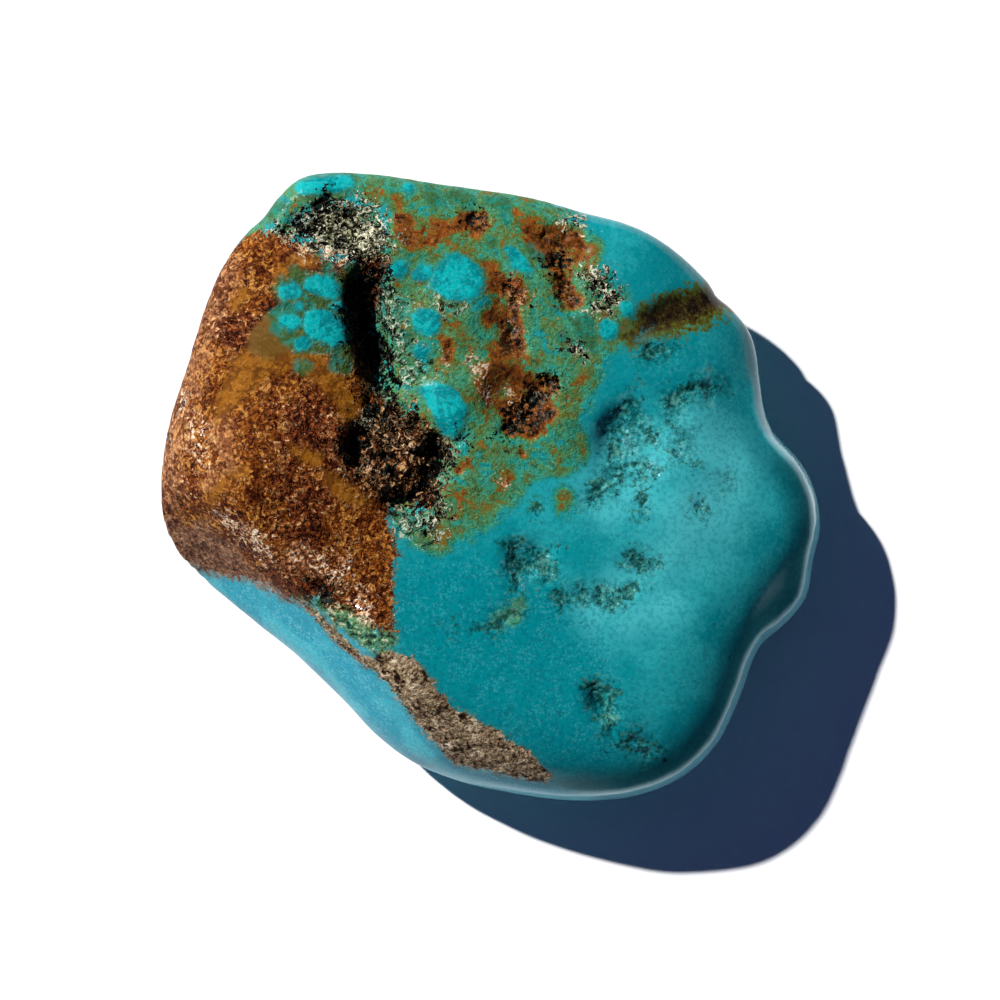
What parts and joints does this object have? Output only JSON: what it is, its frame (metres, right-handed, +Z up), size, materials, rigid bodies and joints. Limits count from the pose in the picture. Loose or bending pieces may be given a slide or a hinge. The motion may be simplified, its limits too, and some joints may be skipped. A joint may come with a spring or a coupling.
{
  "type": "polished turquoise nugget",
  "caption": "Tumble-polished turquoise nugget: a low rounded freeform pebble, blue-green, with brown host rock, crusty pits and a steep flank on one side.",
  "frame": {"origin": "on the resting surface, under the middle of the stone's box", "axes": "+X along the stone's longest side of the box, towards its rounded nose; +Y towards the end with the crystal bed; +Z up, out of the domed crown"},
  "size_m": [0.0338, 0.032, 0.011],
  "materials": {
    "turquoise": "tumble-polished blue-green turquoise with rough-ground brown iron-stained host rock, dark crusty pits and a grey-brown seam"
  },
  "bodies": {
    "root": {"turquoise_nugget": "turquoise"}
  },
  "joints": []
}
